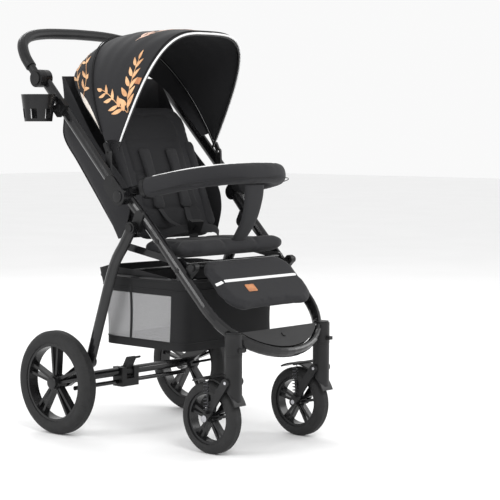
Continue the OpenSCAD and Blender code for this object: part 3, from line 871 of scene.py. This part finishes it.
    def build(self) -> list[bpy.types.Object]:
        """Builds the hood.

        Returns:
            Its pieces.
        """
        front = self.cloth("hood_front_cloth", AT.rim_lean, AT.mid_lean + 0.4, 40, 4.5, 34)
        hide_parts("hood_front")
        rear = self.cloth("hood_rear_cloth", AT.mid_lean + 1.2, AT.rear_lean, 14, 8.5, 58)
        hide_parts("hood_rear")
        bow = dress(self.ribbon("hood_front_bow", AT.rim_lean, 0, self.bow_r, 8), Finish.PAINT)
        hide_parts("front_bow")
        mid = dress(self.ribbon("hood_mid_bow", AT.mid_lean, 0, self.bow_r, 22), Finish.PAINT)
        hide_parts("mid_bow")
        rim = dress(self.ribbon("hood_rim_piping", AT.rim_lean + 0.5, 5.0, 2.7, 34), Finish.PIPING)
        seam = dress(self.ribbon("hood_seam_piping", AT.mid_lean + 1.0, 10.6, 1.5, 62), Finish.BAND)
        edge = dress(self.ribbon("hood_rim_band", AT.rim_lean - 1.6, 5.6, 1.8, 34), Finish.BAND)
        ink = self.prints()
        pieces = {Body.HOOD: [front, bow, rim, edge, *ink[Body.HOOD]],
                  Body.UPPER: [rear, mid, seam, *ink[Body.UPPER]]}
        for body, group in pieces.items():
            for o in group:
                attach(o, body.value)
                self.fold_flat(o)
        return [o for group in pieces.values() for o in group]


@dataclass
class SeatUnit:
    """Seat pad, backrest, harness, calf rest, flap and back shell."""

    half: float = 180.0

    def flatten(self, obj: bpy.types.Object) -> None:
        """Gives a piece of the back its own copy of its mesh."""
        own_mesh(obj)

    def seat(self) -> list[bpy.types.Object]:
        """Seat pad with its sewn channels."""
        z = (AT.seat_top + AT.seat_under) / 2
        pad = slab("seat_cushion", (AT.seat_front - 10, z + 4), 0, 226, self.half - 4, 27, 46)
        inflate(pad, 5, 8)
        co = points(pad)
        ahead = np.clip((-0.118 - co[:, 1]) / 0.07, 0, 1)
        co[:, 0] *= 1 + 0.115 * ahead
        co[:, 2] += (0.008 * ahead - 0.014 * np.clip((-0.185 - co[:, 1]) / 0.03, 0, 1) ** 2)
        move_points(pad, co)
        for x in (-62, 62):
            dent(pad, lambda p, x=x: np.hypot(p[:, 0] - x, np.maximum(0, AT.seat_top - 14 - p[:, 2]) * 3), 3.5, 6,
                 (0, 0, -1))
        dent(pad, lambda p: np.hypot(p[:, 1] + 120, np.maximum(0, AT.seat_top - 14 - p[:, 2]) * 3), 3.0, 6, (0, 0, -1))
        finish_pad(pad)
        dress(pad, Finish.CLOTH)
        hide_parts("seat_pad")
        return [pad]

    def back(self) -> list[bpy.types.Object]:
        """Backrest shell pad, its liner and the shoulder pads."""
        base = slab("backrest_pad", along(AT.bight, AT.back, 8), AT.back, 392, 162, 18, 60)
        inflate(base, 6, 6)
        finish_pad(base)
        dress(base, Finish.CLOTH)
        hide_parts("backrest")
        liner = slab("backrest_liner", along(AT.bight, AT.back, 26), AT.back, 352, 118, 9, 46, 9)
        inflate(liner, 5, 5)
        a = math.radians(AT.back)
        n = np.array([0, -math.sin(a), math.cos(a)])
        d = np.array([0, math.cos(a), math.sin(a)])
        o = np.array([0, *AT.bight])
        for s in (96, 196, 296):
            dent(liner, lambda p, s=s: (p - o) @ d - s, 3.2, 6, -n)
        finish_pad(liner)
        dress(liner, Finish.LINING)
        out = [base, liner]
        for k in (-1, 1):
            word = "left" if k > 0 else "right"
            wing = slab(f"backrest_wing_{word}", along(AT.bight, AT.back, 40), AT.back, 250, 20, 13, 16, 11)
            co = points(wing)
            co[:, 0] += k * 140 * MM
            move_points(wing, co)
            inflate(wing, 5, 4)
            finish_pad(wing)
            out.append(dress(wing, Finish.CLOTH))
            pad = slab(f"shoulder_pad_{word}", along(AT.bight, AT.back, 90), AT.back, 176, 22, 8, 12, 22)
            co = points(pad)
            co[:, 0] += k * 52 * MM
            move_points(pad, co)
            inflate(pad, 4, 3)
            finish_pad(pad)
            out.append(dress(pad, Finish.WEBBING))
        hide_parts("shoulder_pads")
        return out

    def harness(self) -> list[bpy.types.Object]:
        """Webbing from the shoulder pads, the hips and the seat to the buckle."""
        out = []
        for k in (-1, 1):
            word = "left" if k > 0 else "right"
            low = along(along(AT.bight, AT.back, 92), AT.back + 90, 21)
            path = smooth_path([(k * 52, *low), (k * 40, 30, 577), (k * 26, 0, 560), (k * 20, -17, 556)], 6)
            out.append(sweep(f"shoulder_web_{word}", path, 9, 0.9, (0, -0.6, 0.8), 8, 6))
            lap = smooth_path([(k * 118, -6, 534), (k * 90, -20, 549), (k * 50, -24, 556), (k * 22, -23, 556)], 6)
            out.append(sweep(f"lap_web_{word}", lap, 11, 0.9, (0, -1, 0.3), 8, 6))
        crotch = smooth_path([(0, -21, 526.5), (0, -23, 533), (0, -24, 541)], 5)
        out.append(sweep("crotch_web", crotch, 17, 1.2, (0, -1, 0), 8, 6))
        for o in out:
            dress(o, Finish.WEBBING)
        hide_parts("harness_webbing")
        return out

    def calf(self) -> list[bpy.types.Object]:
        """Calf rest with its stripe and tag."""
        start = along(AT.calf, AT.calf_slope, -18)
        pad = slab("calf_cushion", start, AT.calf_slope, 173, 172, 17, 56)
        inflate(pad, 5, 7)
        co = points(pad)
        co[:, 0] *= 1 - 0.07 * np.clip((0.40 - co[:, 2]) / 0.05, 0, 1)
        move_points(pad, co)
        finish_pad(pad)
        dress(pad, Finish.CLOTH)
        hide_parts("calf_rest")
        a = math.radians(AT.calf_slope)
        up = np.array([math.sin(a), -math.cos(a)])
        mesh = pad.data
        line = []
        focus(pad)
        for x in np.linspace(-171, 171, 41):
            p = along(AT.calf, AT.calf_slope, 66)
            far = Vector((x * MM, (p[0] + up[0] * 60) * MM, (p[1] + up[1] * 60) * MM))
            hit, where, _, _ = pad.ray_cast(far, Vector((0, -up[0], -up[1])))
            if hit:
                line.append([c * 1000 for c in where])
        stripe = sweep("calf_stripe", np.array(line), 4.5, 0.7, (0, up[0], up[1]), 8, 5)
        dress(stripe, Finish.PIPING)
        p = along(AT.calf, AT.calf_slope, 96)
        tag = slab("calf_tag", (p[0], p[1]), AT.calf_slope, 24, 17, 2.2, 3)
        far = Vector((-62 * MM, (p[0] + up[0] * 60) * MM, (p[1] + up[1] * 60) * MM))
        hit, where, _, _ = pad.ray_cast(far, Vector((0, -up[0], -up[1])))
        co = points(tag)
        co += np.array(where) - co.mean(0) + np.array([0, up[0], up[1]]) * 0.4 * MM
        move_points(tag, co)
        dress(tag, Finish.LEATHER)
        return [pad, stripe, tag]

    def flap(self) -> bpy.types.Object:
        """Flap between the bumper bar and the seat."""
        path = smooth_path([(0, -238, 676), (0, -236, 640), (0, -222, 590), (0, -196, 548), (0, -178, 529)], 8)
        obj = sweep("crotch_cloth", path, 34, 5.5, (0, -1, 0.3), 20, 3.2)
        co = points(obj)
        z = co[:, 2] * 1000
        co[:, 0] *= 1.14 - 0.42 * np.clip((690 - z) / 160, 0, 1)
        move_points(obj, co)
        smooth(obj, 60)
        dress(obj, Finish.CLOTH)
        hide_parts("crotch_flap")
        return obj

    def shell(self) -> list[bpy.types.Object]:
        """Fabric shell behind the upper tubes."""
        front = smooth_path([(0, 62, 536), (0, 40, 610), (0, 62, 682), (0, 170, 790), (0, 286, 962)], 7)[:, 1:]
        back = smooth_path([(0, 82, 532), (0, 168, 628), (0, 262, 736), (0, 320, 806), (0, 312, 866),
                            (0, 298, 966)], 6)[:, 1:]
        n = 34
        resample = lambda c: np.stack([np.interp(np.linspace(0, 1, n), np.linspace(0, 1, len(c)), c[:, i])
                                       for i in (0, 1)], 1)
        front, back = resample(front), resample(back)
        rows = []
        for i in range(n):
            row = []
            depth = np.linalg.norm(back[i] - front[i])
            half = 186.0 - 10 * math.sin(math.pi * i / (n - 1))
            for u in np.linspace(-1, 1, 61):
                s = min(1.0, (1 - abs(u)) / 0.42)
                r = s ** 1.0
                x = half * math.copysign(1, u) if abs(u) > 0.58 else half * u / 0.58
                square = min(1.0, abs(u) / 0.58)
                bulge = 9 * math.sin(math.pi * i / (n - 1)) * (1 - square ** 2)
                corner = 22 * math.exp(-((abs(u) - 0.58) / 0.07) ** 2)
                y, z = front[i] + (back[i] - front[i]) * (r - corner / max(depth, 60) * 0.5)
                x -= math.copysign(corner * 0.35, u)
                x += math.copysign(5 * math.sin(math.pi * s) * math.sin(math.pi * i / (n - 1)), u) if abs(u) > 0.58 else 0
                row.append((x, y + bulge * 0.8, z - bulge * 0.5))
            rows.append(row)
        obj = grid("back_shell", np.array(rows))
        area = cloth_area(obj)
        modify(obj, "SOLIDIFY", thickness=2.4 * MM, offset=0)
        face_out(obj)
        smooth(obj, 60)
        dress(obj, Finish.CLOTH)
        declare_sheet(area, 1.2)
        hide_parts("back_bag")
        out = [obj]
        for k in (-1, 1):
            word = "left" if k > 0 else "right"
            path = np.array([row[12 if k < 0 else 48] for row in rows])
            out.append(dress(sweep(f"shell_piping_{word}", path + np.array([k * 1.5, 1.5, -1]), 1.8, 1.8, (k, 0, 0), 8),
                             Finish.BAND))
        return out

    def build(self) -> list[bpy.types.Object]:
        """Builds the seat unit.

        Returns:
            Its pieces.
        """
        out = []
        for o in self.seat() + self.harness():
            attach(o, Body.FRONT.value)
            out.append(o)
        for o in self.back():
            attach(o, Body.BACK.value)
            self.flatten(o)
            out.append(o)
        for o in self.calf():
            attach(o, Body.CALF.value)
            out.append(o)
        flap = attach(self.flap(), Body.BUMPER.value)
        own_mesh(flap)
        for o in self.shell():
            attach(o, Body.UPPER.value)
            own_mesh(o)
            out.append(o)
        return [*out, flap]


@dataclass
class BumperPad:
    """Padded sleeve of the bumper bar with its piping."""

    across: float = 25.0
    deep: float = 27.0
    half: float = 185.6
    reach: float = 236.0

    def path(self, lift: float, inset: float) -> np.ndarray:
        """The bar's line, lifted and drawn in by some millimetres."""
        a = math.radians(AT.bumper_lean)
        d, n = np.array([0, math.cos(a), math.sin(a)]), np.array([0, math.sin(a), -math.cos(a)])
        if n[2] < 0:
            n = -n
        o = np.array([0, *AT.bumper])
        w, r = self.half - inset, self.reach - inset
        side_ = smooth_path([(w, 30, 0), (w - 2, 80, 0), (w - 18, r - 76, 0), (w - 66, r - 24, 0),
                             (w - 126, r - 4, 0), (0, r, 0)], 8)
        full = np.concatenate([side_, side_[-2::-1] * np.array([-1, 1, 1])])
        return o + full[:, :1] * np.array([1, 0, 0]) + full[:, 1:2] * d + n * lift

    def build(self) -> list[bpy.types.Object]:
        """Builds the sleeve and its piping.

        Returns:
            Its pieces.
        """
        a = math.radians(AT.bumper_lean)
        n = (0, math.sin(a), -math.cos(a))
        sleeve = sweep("bumper_sleeve", self.path(0, 0), self.across, self.deep, n, 28, 2.3)
        co = points(sleeve)
        wrinkle = 0.9 * np.sin(co[:, 0] * 240) * np.sin(co[:, 1] * 170) + 0.6 * np.sin(co[:, 0] * 90 + co[:, 1] * 310)
        co[:, 2] += wrinkle * MM * 0.6
        move_points(sleeve, co)
        modify(sleeve, "SUBSURF", levels=1, render_levels=1)
        smooth(sleeve, 60)
        dress(sleeve, Finish.CLOTH)
        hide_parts("bumper_bar")
        line = sweep("bumper_piping", self.path(self.deep * 0.93, -8)[6:-6], 1.9, 1.9, n, 8)
        dress(line, Finish.PIPING)
        seam = sweep("bumper_seam", self.path(-self.deep * 0.6, -21)[6:-6], 1.1, 1.1, n, 8)
        dress(seam, Finish.BAND)
        a = self.path(0, 0)
        cuffs = []
        for k, word in ((1, "left"), (-1, "right")):
            p = a[0] if k > 0 else a[-1]
            q = a[3] if k > 0 else a[-4]
            step = (q - p) / np.linalg.norm(q - p)
            ends = np.array([p + step * s for s in (-5, -2, 6, 9)])
            cuff = sweep(f"bumper_cuff_{word}", ends, 26.2, 27.9, n, 28, 2.3)
            cuffs.append(dress(cuff, Finish.MOULD))
        out = [sleeve, line, seam, *cuffs]
        for o in out:
            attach(o, Body.BUMPER.value)
        return out


@dataclass
class Basket:
    """Shopping basket of netting with cloth bands."""

    half: float = 179.0
    front: Side = (-158.0, -172.0)
    back: Side = (140.0, 168.0)
    low: float = 250.0
    high: float = 431.0
    levels: int = 19

    def ring(self, v: float) -> np.ndarray:
        """The basket's outline at a height, 0 low to 1 high."""
        y0 = self.front[0] + (self.front[1] - self.front[0]) * v
        y1 = self.back[0] + (self.back[1] - self.back[0]) * v
        dip = 5.0 * math.sin(math.pi * v)
        a = np.linspace(0, 2 * np.pi, 96, endpoint=False)
        c = np.sign(np.cos(a)) * np.abs(np.cos(a)) ** 0.16
        s = np.sign(np.sin(a)) * np.abs(np.sin(a)) ** 0.16
        sag = 4 * np.sin(3 * a) * math.sin(math.pi * v)
        x, y = (self.half - dip) * c, (y0 + y1) / 2 + ((y1 - y0) / 2 - dip) * s
        return np.stack([x, y, np.full_like(x, self.low + (self.high - self.low) * v) + sag], 1)

    def build(self) -> list[bpy.types.Object]:
        """Builds the basket and its bands.

        Returns:
            Its pieces.
        """
        vs = np.linspace(0, 1, self.levels)
        rows = [self.ring(v) for v in vs]
        floor = [rows[0] * np.array([k, k, 1]) + np.array([0, -9 * (1 - k), 0]) for k in (0.2, 0.5, 0.8, 0.95)]
        rows = np.array([*floor, *rows])
        obj = grid("basket_net", rows, wrap=True)
        bm = bmesh.new()
        bm.from_mesh(obj.data)
        bm.faces.new([bm.verts[i] for i in self._first(bm, 96)])
        banded = []
        for f in bm.faces:
            c = f.calc_center_median() * 1000
            v = (c.z - self.low) / (self.high - self.low)
            banded.append(int(c.z < self.low + 22 or v > 0.80 or c.y < -105 or len(f.verts) > 4))
        bm.normal_update()
        bm.to_mesh(obj.data)
        bm.free()
        area = cloth_area(obj)
        dress(obj, Finish.NET, Finish.BAND)
        obj.data.polygons.foreach_set("material_index", banded)
        modify(obj, "SOLIDIFY", thickness=1.2 * MM, offset=0)
        smooth(obj, 60)
        declare_sheet(area, 1.0)
        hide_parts("basket")
        cuff_rows = []
        for h in np.linspace(0, 1, 6):
            ring = self.ring(1.0) * np.array([1 + 0.012 * h, 1 + 0.02 * h, 1])
            lift = np.clip((ring[:, 1] + 120) / 120, 0, 1)
            ring[:, 2] += h * (5 + 17 * lift) + 3 * np.sin(ring[:, 0] * 0.05 + ring[:, 1] * 0.04) * h * lift
            cuff_rows.append(ring)
        cuff = grid("basket_cuff", np.array(cuff_rows), wrap=True)
        cuff_area = cloth_area(cuff)
        modify(cuff, "SOLIDIFY", thickness=1.6 * MM, offset=0)
        smooth(cuff, 60)
        dress(cuff, Finish.BAND)
        declare_sheet(cuff_area, 30.0)
        edge = sweep("basket_hem", self.ring(1.0), 2.4, 4.0, (0, 0, 1), 10, closed=True)
        dress(edge, Finish.BAND)
        proud = np.array([1.004, 1.004, 1])
        low = sweep("basket_low_piping", self.ring(0.11) * proud, 1.6, 1.6, (0, 0, 1), 8, closed=True)
        dress(low, Finish.BAND)
        mid = sweep("basket_top_piping", self.ring(0.86) * proud, 1.4, 1.4, (0, 0, 1), 8, closed=True)
        dress(mid, Finish.BAND)
        out = [obj, cuff, edge, low, mid]
        for k in (-1, 1):
            word = "left" if k > 0 else "right"
            path = [(k * (self.half - 5 * math.sin(math.pi * v) + 1.2), 38, self.low + (self.high - self.low) * v)
                    for v in np.linspace(0.08, 0.9, 14)]
            out.append(dress(sweep(f"basket_seam_{word}", np.array(path), 4.5, 0.8, (1, 0, 0), 8), Finish.BAND))
        for o in out:
            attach(o, Body.FRONT.value)
        return out

    @staticmethod
    def _first(bm: bmesh.types.BMesh, count: int) -> list[int]:
        """Numbers of the innermost ring's points, in order."""
        bm.verts.ensure_lookup_table()
        return list(range(count))


@dataclass
class Hardware:
    """Springs, rivets and fittings."""

    wheel_x: float = 174.0
    spring_y: float = -263.87
    spring_low: float = 114.8
    spring_high: float = 193.7
    spring_x: float = 36.4

    def spring(self, name: str, x: float) -> bpy.types.Object:
        """One coil spring with closed ends."""
        turns, per = 9, 14
        t = np.linspace(0, 1, turns * per + 1)
        a = t * turns * 2 * np.pi
        z = self.spring_low + 1.2 + (self.spring_high - self.spring_low - 2.4) * t
        path = np.stack([x + 6.2 * np.cos(a), self.spring_y + 6.2 * np.sin(a), z], 1)
        obj = sweep(name, path, 1.15, 1.15, (0, 0, 1), 8)
        return dress(obj, Finish.SPRING)

    def disc(self, name: str, at: Point, radius: float, height: float, finish: Finish) -> bpy.types.Object:
        """A domed rivet head that points to the side."""
        calm()
        bpy.ops.mesh.primitive_cylinder_add(vertices=32, radius=radius * MM, depth=height * MM)
        obj = bpy.context.object
        obj.name = name
        co = points(obj)
        co = np.stack([co[:, 2], co[:, 1], co[:, 0]], 1)
        move_points(obj, co + np.array(at) * MM)
        face_out(obj)
        modify(obj, "BEVEL", width=height * 0.3 * MM, segments=3, angle_limit=math.radians(40))
        smooth(obj, 40)
        return dress(obj, finish)

    def build(self) -> list[bpy.types.Object]:
        """Builds the small parts.

        Returns:
            Its pieces.
        """
        out = []
        for k, word in ((1, "left"), (-1, "right")):
            for s, side_ in ((-1, "in"), (1, "out")):
                o = self.spring(f"coil_{word}_{side_}", k * self.wheel_x + s * self.spring_x)
                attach(o, f"fork_{word}")
                if s > 0:
                    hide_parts(f"springs_{word}")
                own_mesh(o)
                out.append(o)
            for i, (y, z, x) in enumerate(((-91, 534, 210.5), (-161, 463, 210.5))):
                o = self.disc(f"tube_rivet_{word}_{i}", (k * x, y, z), 6.5, 3.0, Finish.GLOSSY)
                out.append(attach(o, Body.FRONT.value))
            cap = self.disc(f"rear_cap_{word}", (k * 281.0, 237, 140), 17, 7, Finish.GLOSSY)
            out.append(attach(cap, f"rear_wheel_{word}"))
            hub = self.disc(f"front_cap_{word}", (k * 203.8, -249.87, 92.5), 9, 3.2, Finish.STEEL)
            out.append(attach(hub, f"link_{word}"))
            cover = self.disc(f"fold_cover_{word}", (k * 244.4, 20, 647), 15, 3.0, Finish.GLOSSY)
            out.append(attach(cover, Body.UPPER.value))
        return out


class Studio:
    """Floor, lights and camera."""

    EYE = (-3.1713, -3.0075, 0.8219)
    TARGET = (-0.0314, -0.0203, 0.5181)
    LENS = 116.8
    SHIFT = (0.13, -0.0146)

    def lamp(self, name: str, at: Point, size: float, power: float) -> None:
        """One soft light that points at the stroller."""
        light = bpy.data.lights.new(name, "AREA")
        light.shape, light.size, light.energy = "SQUARE", size, power
        obj = bpy.data.objects.new(name, light)
        bpy.context.scene.collection.objects.link(obj)
        obj.location = at
        obj.rotation_euler = (Vector((0, 0, 0.5)) - Vector(at)).to_track_quat("-Z", "Y").to_euler()

    def build(self) -> None:
        """Builds the studio."""
        calm()
        bpy.ops.mesh.primitive_plane_add(size=40)
        floor = bpy.context.object
        floor.name = "studio_floor"
        s = Shader("pale_floor")
        tones = [(0.3, (0.90, 0.90, 0.90)), (0.7, (0.92, 0.92, 0.92))]
        s.set(Base_Color=s.ramp(s.noise(2.0), tones), Roughness=0.75)
        floor.data.materials.append(s.material)
        world = bpy.data.worlds.new("studio")
        world.use_nodes = True
        world.node_tree.nodes["Background"].inputs[0].default_value = (1, 1, 1, 1)
        world.node_tree.nodes["Background"].inputs[1].default_value = 0.95
        bpy.context.scene.world = world
        bpy.context.scene.view_settings.view_transform = "Standard"
        self.lamp("key", (-1.5, -3.2, 3.4), 1.6, 75)
        self.lamp("side", (-3.6, 0.6, 1.9), 1.2, 45)
        self.lamp("fill", (3.4, -2.0, 2.2), 1.6, 35)
        self.lamp("back", (1.2, 3.2, 2.8), 1.6, 40)
        data = bpy.data.cameras.new("camera")
        camera = bpy.data.objects.new("camera", data)
        bpy.context.scene.collection.objects.link(camera)
        camera.location = self.EYE
        camera.rotation_euler = (Vector(self.TARGET) - Vector(self.EYE)).to_track_quat("-Z", "Y").to_euler()
        data.sensor_width, data.lens = 36.0, self.LENS
        data.shift_x, data.shift_y = self.SHIFT
        data.clip_start, data.clip_end = 0.1, 60
        bpy.context.scene.camera = camera


@dataclass
class CadFinishes:
    """Finishes of the CAD nodes that stay in view."""

    by_start: dict[str, Finish] = field(default_factory=lambda: {
        "front_tube": Finish.PAINT, "upper_tubes": Finish.PAINT, "rear_legs": Finish.PAINT,
        "rear_axle": Finish.PAINT, "seat_frame": Finish.PAINT, "basket_rim": Finish.PAINT,
        "handle_bar": Finish.MOULD, "handle_grip": Finish.FOAM, "cup_holder": Finish.GLOSSY,
        "rear_tyre": Finish.REAR_TYRE, "front_tyre": Finish.FRONT_TYRE, "pivot_pins": Finish.GLOSSY,
        "rear_stubs": Finish.STEEL, "handle_pins": Finish.STEEL, "link_bolts": Finish.STEEL,
        "buckle_button": Finish.GLOSSY, "rear_rim": Finish.GLOSSY, "front_rim": Finish.GLOSSY,
        "hinge_covers": Finish.GLOSSY})

    def build(self, nodes: dict[str, bpy.types.Object]) -> None:
        """Gives every CAD node its finish."""
        for name, obj in nodes.items():
            found = next((f for start, f in self.by_start.items() if name.startswith(start)), Finish.MOULD)
            dress(obj, found)


def main(frame: dict) -> None:
    """Builds everything in order.
    """
    logging.basicConfig(level=logging.INFO, format="%(name)s: %(message)s")
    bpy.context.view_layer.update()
    Studio().build()
    CadFinishes().build(frame["nodes"])
    for part in (Canopy(), SeatUnit(), BumperPad(), Basket(), Hardware()):
        for piece in part.build():
            LOG.info("%s: %s, %d faces", type(part).__name__, piece.name, len(piece.data.polygons))


if __name__ == "__main__":
    main(frame)
